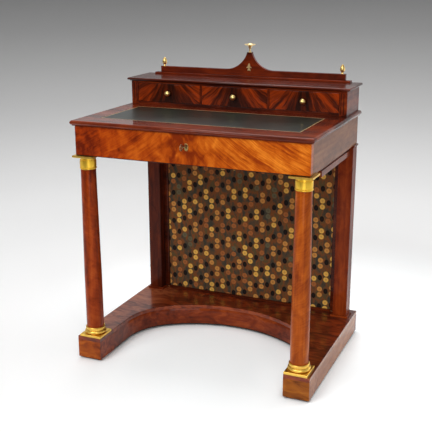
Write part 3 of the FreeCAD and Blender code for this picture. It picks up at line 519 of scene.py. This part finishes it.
def flame_veneer(name, node, tones, shift, lift):
    """A small drawer's crotch veneer: streaks that fan down and out from above, dark in the middle."""
    tree = Tree(name)
    centre = middle_of(node)
    x, _, z = tree.parts(tree.place((-centre[0], 0, -centre[2])))
    rise = tree.math("SUBTRACT", flame_apex, z)
    drift = tree.noise(tree.place((shift, 0, 0)), scale=22.0, detail=2.0)
    lean = tree.math("ARCTAN2", x, rise)
    bent = tree.weigh((lean, 1.0), (drift, flame_drift))
    figure = tree.vector(bent, z, shift)
    beside = tree.span(tree.math("ABSOLUTE", lean), flame_dark, flame_light)
    band = tree.noise(tree.stretch(figure, scale=flame_band), detail=2.0)
    streak = tree.noise(tree.stretch(figure, scale=flame_streak))
    feather = tree.noise(tree.stretch(figure, scale=flame_feather), detail=2.0)
    pores = tree.noise(tree.stretch(figure, scale=flame_pores), detail=2.0)
    tone = tree.weigh(*zip((band, streak, feather), flame_shares), (beside, flame_gain))
    tone = tree.math("SUBTRACT", tone, flame_sink - lift)
    return tree.polish(wood_tones(tree, tone, tones, pores), pores, tone)


def lining_wood(name, axis):
    """Plain pale wood of drawer linings and hidden framing, planed and waxed."""
    tree = Tree(name)
    grain = tree.place(scale=along(axis, *lining_streak))
    streak = tree.noise(grain, detail=5.0, roughness=0.6, distortion=0.2)
    soil = tree.noise(tree.place(), scale=6.0)
    colour = tree.ramp(streak, *lining_tones)
    colour = tree.mix(tree.span(soil, low=0.45, high=0.75, to_high=0.3), colour, lining_soil)
    return tree.finish(
        Base_Color=colour, Roughness=0.62, Normal=tree.bump(streak, strength=0.2, distance=0.0004),
    )


def gilt(name, bright, worn, roughness, wear):
    """Fire-gilt bronze or brass, clouded by wear."""
    tree = Tree(name)
    cloud = tree.noise(tree.place(), scale=45.0, detail=4.0)
    rub = tree.noise(tree.place(scale=(1, 1, 3)), scale=240.0)
    colour = tree.mix(tree.span(cloud, low=0.42, high=0.75, to_high=wear), bright, worn)
    return tree.finish(
        Base_Color=colour, Metallic=1.0,
        Roughness=tree.span(rub, low=0.3, high=0.75, to_low=roughness, to_high=roughness + rub_unevenness),
        Normal=tree.bump(rub, strength=0.006, distance=0.0002),
    )


def lock_steel(name):
    """Forged steel, filed and darkened by hands."""
    tree = Tree(name)
    file_marks = tree.noise(tree.place(scale=(1, 6, 1)), scale=300.0, detail=4.0)
    stain = tree.noise(tree.place(), scale=120.0)
    colour = tree.mix(tree.span(stain, low=0.4, high=0.7), steel_bright, steel_dark)
    return tree.finish(
        Base_Color=colour, Metallic=1.0,
        Roughness=tree.span(file_marks, low=0.2, high=0.8, to_low=0.28, to_high=0.5),
        Normal=tree.bump(file_marks, strength=0.2, distance=0.0003),
    )


def desk_leather(name):
    """Dark green hide, waxed, with a tooled gilt line near its edge."""
    tree = Tree(name)
    low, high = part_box("leather_inset")
    centre = middle_of("leather_inset")
    x, y, _ = tree.parts(tree.place((-centre[0], -centre[1], 0)))
    from_side = tree.math("SUBTRACT", (high[0] - low[0]) / 2, tree.math("ABSOLUTE", x))
    from_end = tree.math("SUBTRACT", (high[1] - low[1]) / 2, tree.math("ABSOLUTE", y))
    line = tree.near(tree.math("MINIMUM", from_side, from_end), tooled_line, tooled_half)
    hide = tree.noise(tree.place(), scale=900.0)
    cloud = tree.noise(tree.place(), scale=14.0, detail=4.0)
    wear = tree.noise(tree.place(), scale=60.0)
    rubbed = tree.span(wear, low=0.35, high=0.7, to_low=0.95, to_high=0.55)
    colour = tree.mix(tree.math("MULTIPLY", line, rubbed), tree.ramp(cloud, *hide_tones), tooled_gilt)
    return tree.finish(
        Base_Color=colour, Specular_IOR_Level=0.28,
        Roughness=tree.span(cloud, low=0.3, high=0.7, to_low=0.31, to_high=0.35),
        Normal=tree.bump(hide, strength=0.06, distance=0.0003),
    )


def spotted_cloth(name):
    """Woven cloth with pairs of discs and single ovals on a mottled ground, in a layout of its own."""
    tree = Tree(name)
    x, _, z = tree.parts(tree.place())
    across = tree.math("DIVIDE", x, cloth_column)
    column = tree.math("FLOOR", across)
    up = tree.weigh((z, 1 / cloth_row), (tree.random(tree.vector(column, slip_seed)), cloth_slip))
    row = tree.math("FLOOR", up)
    step = tree.math("FLOORED_MODULO", tree.weigh((row, 1.0), (column, cloth_stagger)), cloth_cycle)
    luck = tree.random(tree.vector(column, tree.math("FLOOR", tree.math("DIVIDE", row, ink_rows))))
    disc = tree.math("LESS_THAN", step, disc_steps - 0.5)
    oval = tree.near(step, oval_step, 0.5)
    half_x, half_z = (tree.span(oval, 0.0, 1.0, *halves) for halves in zip(disc_half, oval_half))
    far_x = tree.math("DIVIDE", tree.math("SUBTRACT", tree.math("FRACT", across), 0.5), half_x)
    far_z = tree.math("DIVIDE", tree.math("SUBTRACT", tree.math("FRACT", up), 0.5), half_z)
    far = tree.reach(far_x, far_z)
    thread = tree.noise(tree.place(scale=(1, 1, 0.25)), scale=1400.0, detail=2.0)
    spot = tree.span(tree.weigh((far, 1.0), (thread, spot_fray)), spot_outer, spot_inner)
    spot = tree.math("MULTIPLY", spot, tree.math("MAXIMUM", disc, oval))
    eye = tree.span(far, eye_outer, eye_inner, to_high=eye_depth)
    blot = tree.noise(tree.place(scale=(1.5, 1, 0.8)), scale=36.0, detail=2.0)
    ground = tree.ramp(blot, *cloth_grounds)
    ink = tree.mix(oval, tree.ramp(luck, *cloth_inks, steps="CONSTANT"), oval_ink)
    colour = tree.mix(spot, ground, tree.mix(eye, ink, eye_ink))
    colour = tree.mix(tree.span(thread, low=0.4, high=0.65, to_high=0.25), colour, thread_brown)
    weave = tree.math("MULTIPLY", tree.rib(x, warp_pitch), tree.rib(z, weft_pitch))
    return tree.finish(
        Base_Color=colour, Roughness=0.86, Sheen_Weight=0.1, Sheen_Roughness=0.5, Specular_IOR_Level=0.15,
        Normal=tree.bump(tree.math("ADD", weave, thread), strength=0.35, distance=0.0004),
    )


def stage_paper(name):
    """The pale floor, greying as it sweeps up, bright again high up, and dark before the desk."""
    tree = Tree(name)
    x, y, z = tree.parts(tree.place())
    paper = tree.ramp(z, *((height, grey(level)) for height, level in paper_greys))
    far = tree.reach(*(tree.math("SUBTRACT", value, middle) for value, middle in zip((x, y), glow_middle)))
    room = tree.span(y, dark_from, dark_to)
    path = tree.add("LightPath", {}).outputs
    seen = tree.math("MAXIMUM", path["Is Camera Ray"], path["Is Glossy Ray"])
    seen = tree.math("MAXIMUM", seen, path["Is Transmission Ray"])
    low_glow = tree.span(far, glow_outer, glow_inner, to_high=floor_glow)
    high_glow = tree.span(z, wall_glow_from, wall_glow_to, to_high=wall_glow)
    open_air = tree.add("AmbientOcclusion", {"Distance": contact_reach}, samples=contact_rays).outputs["AO"]
    glow = tree.math("ADD", low_glow, high_glow)
    glow = tree.math("MULTIPLY", glow, tree.math("SUBTRACT", 1.0, room))
    glow = tree.math("MULTIPLY", glow, tree.span(open_air, contact_dark, contact_clear))
    cool = tree.math("MULTIPLY", path["Is Camera Ray"], tree.span(z, cool_from, cool_to))
    return tree.finish(
        Base_Color=tree.mix(room, paper, grey(dark_grey)), Roughness=1.0, Specular_IOR_Level=0.0,
        Emission_Color=tree.mix(cool, grey(1.0), floor_cool),
        Emission_Strength=tree.math("MULTIPLY", glow, seen),
    )


def grain_axis(node):
    """The axis along which a piece is longest."""
    low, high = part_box(node)
    spans = [high[k] - low[k] for k in range(3)]
    return spans.index(max(spans))


def dress(node, material):
    """Gives a CAD node one material."""
    piece = nodes[node]
    piece.data.materials.clear()
    piece.data.materials.append(material)


def round_edges(node):
    """Rounds a wooden piece's sharp edges a little, so that they catch the light."""
    piece = nodes[node]
    weld = piece.modifiers.new("weld", "WELD")
    weld.merge_threshold = weld_gap
    bevel = piece.modifiers.new("edges", "BEVEL")
    bevel.width = edge_round
    bevel.segments = edge_segments
    bevel.limit_method = "ANGLE"
    bevel.angle_limit = edge_angle
    bevel.harden_normals = True


def tone_patches_of(node):
    """Patches on a piece of other veneer, painted light and painted shade: each the axis it comes in along,
    from, to, tones.
    """
    low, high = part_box(node)
    tone_patches = []
    if node == "base_top_board":
        # painted light on the base board's left end
        tone_patches.append((0, low[0] + lit_end_from, low[0] + lit_end_to, painted_light_brown))
        tone_patches.append((2, high[2], high[2] - edge_round, apron_brown))
    if node == "base_curved_apron":
        # painted shade where the apron meets the floor
        tone_patches.append((2, low[2] + 2 * contact_shade_edge, low[2] + contact_shade_edge, pad_and_shade_black))
    if node.startswith("frieze_side"):
        # painted shade: a dark line down the front ends of the frieze sides
        tone_patches.append((1, low[1] + 2 * edge_round, low[1] + edge_round, painted_shade_red))
    if node == "base_end_blocks":
        inner = max(vertex.co.x for vertex in nodes[node].data.vertices if vertex.co.x < 0)
        tone_patches.append((0, inner - edge_round, inner, apron_brown))
        tone_patches.append((0, 0.0, edge_round, block_brown))
    if node in ("base_top_board", "base_end_blocks"):
        # painted light on the right-hand face
        tone_patches.append((0, high[0] - edge_round, high[0], painted_lit_side_brown))
    return tone_patches


def mahogany(node, shift):
    """Straight-grained wood with a piece's own tones and patches, cut from its own place in the plank."""
    inlay = stile_strings(node.rsplit("_", 1)[-1]) if node.startswith("upper_side") else None
    tones, mottle = tones_of.get(node, red_brown), mottle_of.get(node, plank_mottle)
    polish = polish_of.get(node, {})
    return polished_wood(
        node + " wood", grain_axis(node), tones, shift, mottle, inlay, tone_patches_of(node), polish,
    )


def dress_frame():
    """Materials for every CAD node, by the record's slots, and rounded edges for the wood."""
    linings = [lining_wood("lining " + "xyz"[k], k) for k in range(3)]
    metals = {name: gilt(name, *look) for name, look in gilts.items()}
    metals["lock steel"] = lock_steel("lock steel")
    for k, part in enumerate(frame["record"]["subparts"]):
        node, slot = part["node"], part["material_slot"]
        if slot in metal_of_slot:
            dress(node, metals[metal_of.get(node, metal_of_slot[slot])])
            continue
        if node in columns:
            dress(node, column_veneer(node, *columns[node]))
        elif node == "frieze_drawer_front":
            dress(node, feathered_veneer("frieze feather", node, frieze_left, frieze_right))
        elif slot == "mahogany":
            dress(node, mahogany(node, k * plank_step))
        elif slot == "flame_veneer":
            lift = flame_lift.get(node, 0.0)
            dress(node, flame_veneer(node + " flame", node, drawer_flame, k * flame_step, lift))
        elif slot == "drawer_lining":
            dress(node, linings[grain_axis(node)])
        else:
            continue
        round_edges(node)


def mesh_piece(name, points, faces, material):
    """A new smooth object from points and faces."""
    mesh = bpy.data.meshes.new(name)
    mesh.from_pydata(points, [], faces)
    mesh.materials.append(material)
    mesh.polygons.foreach_set("use_smooth", [True] * len(mesh.polygons))
    piece = bpy.data.objects.new(name, mesh)
    bpy.context.collection.objects.link(piece)
    return piece


def grid_faces(across, endways):
    """Faces of a net of points with this many cells each way."""
    row = across + 1
    return [
        (j * row + i, j * row + i + 1, (j + 1) * row + i + 1, (j + 1) * row + i)
        for j in range(endways) for i in range(across)
    ]


def soft_sheet(piece, node):
    """Lets a sheet on the carcass stand for its CAD node."""
    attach(piece, "carcass")
    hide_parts(node)


def ripple(first, second, waves):
    """Waves that run at a slant, added up, from their numbers each way."""
    return sum(math.sin(first * a + second * b) for a, b in waves)


def back_cloth():
    """The cloth stretched over the back, pulled into faint waves at its edges."""
    low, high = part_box("back_cloth")
    points = []
    for j in range(cloth_cells + 1):
        for i in range(cloth_cells + 1):
            u, v = i / cloth_cells, j / cloth_cells
            edge = min(u, 1 - u, v, 1 - v)
            pull = math.exp(-edge * cloth_pull)
            wave = cloth_flutter * pull * ripple(u, v, cloth_ripples) / len(cloth_ripples)
            x, z = low[0] + (high[0] - low[0]) * u, low[2] + (high[2] - low[2]) * v
            points.append((x, low[1] + cloth_flutter + wave, z))
    faces = grid_faces(cloth_cells, cloth_cells)
    piece = mesh_piece("spotted_back_cloth", points, faces, spotted_cloth("spotted cloth"))
    soft_sheet(piece, "back_cloth")


def sunk(inset):
    """How far the leather lies below the writing level, by distance from its edge."""
    for (near, first), (far, second) in zip(tooling, tooling[1:]):
        if inset <= far:
            return first + (second - first) * (inset - near) / (far - near)
    return 0.0


def graded(low, high, cells):
    """Places across the leather: close together at the tooled edge, even between."""
    steps = [inset for inset, _ in tooling]
    near, far = low + steps[-1], high - steps[-1]
    between = [near + (far - near) * k / cells for k in range(1, cells)]
    return [low + s for s in steps] + between + [high - s for s in reversed(steps)]


def writing_leather():
    """The hide let into the top: turned down at its edge, tooled with a line, a little uneven between."""
    low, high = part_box("leather_inset")
    across, endways = (graded(low[k], high[k], cells) for k, cells in enumerate(leather_cells))
    points = []
    for y in endways:
        for x in across:
            inset = max(min(x - low[0], high[0] - x, y - low[1], high[1] - y), 0.0)
            wave = leather_wave * (ripple(x, y, leather_ripples) - len(leather_ripples))
            points.append((x, y, high[2] - sunk(inset) + wave))
    faces = grid_faces(len(across) - 1, len(endways) - 1)
    piece = mesh_piece("tooled_writing_leather", points, faces, desk_leather("desk leather"))
    soft_sheet(piece, "leather_inset")


def stage():
    """A round paper sweep that the desk stands on."""
    profile = [(floor_radius / 2, 0.0), (floor_radius, 0.0)]
    for k in range(1, sweep_steps + 1):
        turn = math.pi / 2 * k / sweep_steps
        profile.append((floor_radius + sweep_radius * math.sin(turn), sweep_radius * (1 - math.cos(turn))))
    profile.append((floor_radius + sweep_radius, wall_top))
    points = []
    for radius, height in profile:
        for k in range(sweep_sides + 1):
            turn = -2 * math.pi * k / sweep_sides
            points.append((radius * math.cos(turn), radius * math.sin(turn), height))
    faces = [tuple(reversed(range(sweep_sides)))] + grid_faces(sweep_sides, len(profile) - 1)
    mesh_piece("paper_sweep", points, faces, stage_paper("stage paper"))


def lamp(name, place, target, size, power):
    """A soft oblong lamp that faces a point and doesn't show."""
    light = bpy.data.lights.new(name, "AREA")
    light.shape = "RECTANGLE"
    light.size, light.size_y = size
    light.energy = power
    holder = bpy.data.objects.new(name, light)
    bpy.context.collection.objects.link(holder)
    holder.location = place
    holder.rotation_euler = (Vector(target) - Vector(place)).to_track_quat("-Z", "Y").to_euler()
    holder.visible_camera = False


def studio_light():
    """The lamps, and an even light from all round."""
    for name, settings in lamps.items():
        lamp(name, *settings)
    world = bpy.data.worlds.new("studio")
    world.use_nodes = True
    world.node_tree.nodes["Background"].inputs["Color"].default_value = grey(room_grey)
    world.node_tree.nodes["Background"].inputs["Strength"].default_value = room_strength
    bpy.context.scene.world = world


def photo_camera():
    """The photograph's view."""
    view = bpy.data.cameras.new("view")
    view.lens = camera_lens
    view.clip_end = camera_reach
    holder = bpy.data.objects.new("view", view)
    bpy.context.collection.objects.link(holder)
    turn = Matrix.Rotation(camera_yaw, 4, "Z") @ Matrix.Rotation(math.pi / 2 - camera_pitch, 4, "X")
    holder.matrix_world = Matrix.Translation(camera_place) @ turn @ Matrix.Rotation(camera_roll, 4, "Z")
    bpy.context.scene.camera = holder
    bpy.context.scene.view_settings.view_transform = "Standard"


dress_frame()
back_cloth()
writing_leather()
stage()
studio_light()
photo_camera()
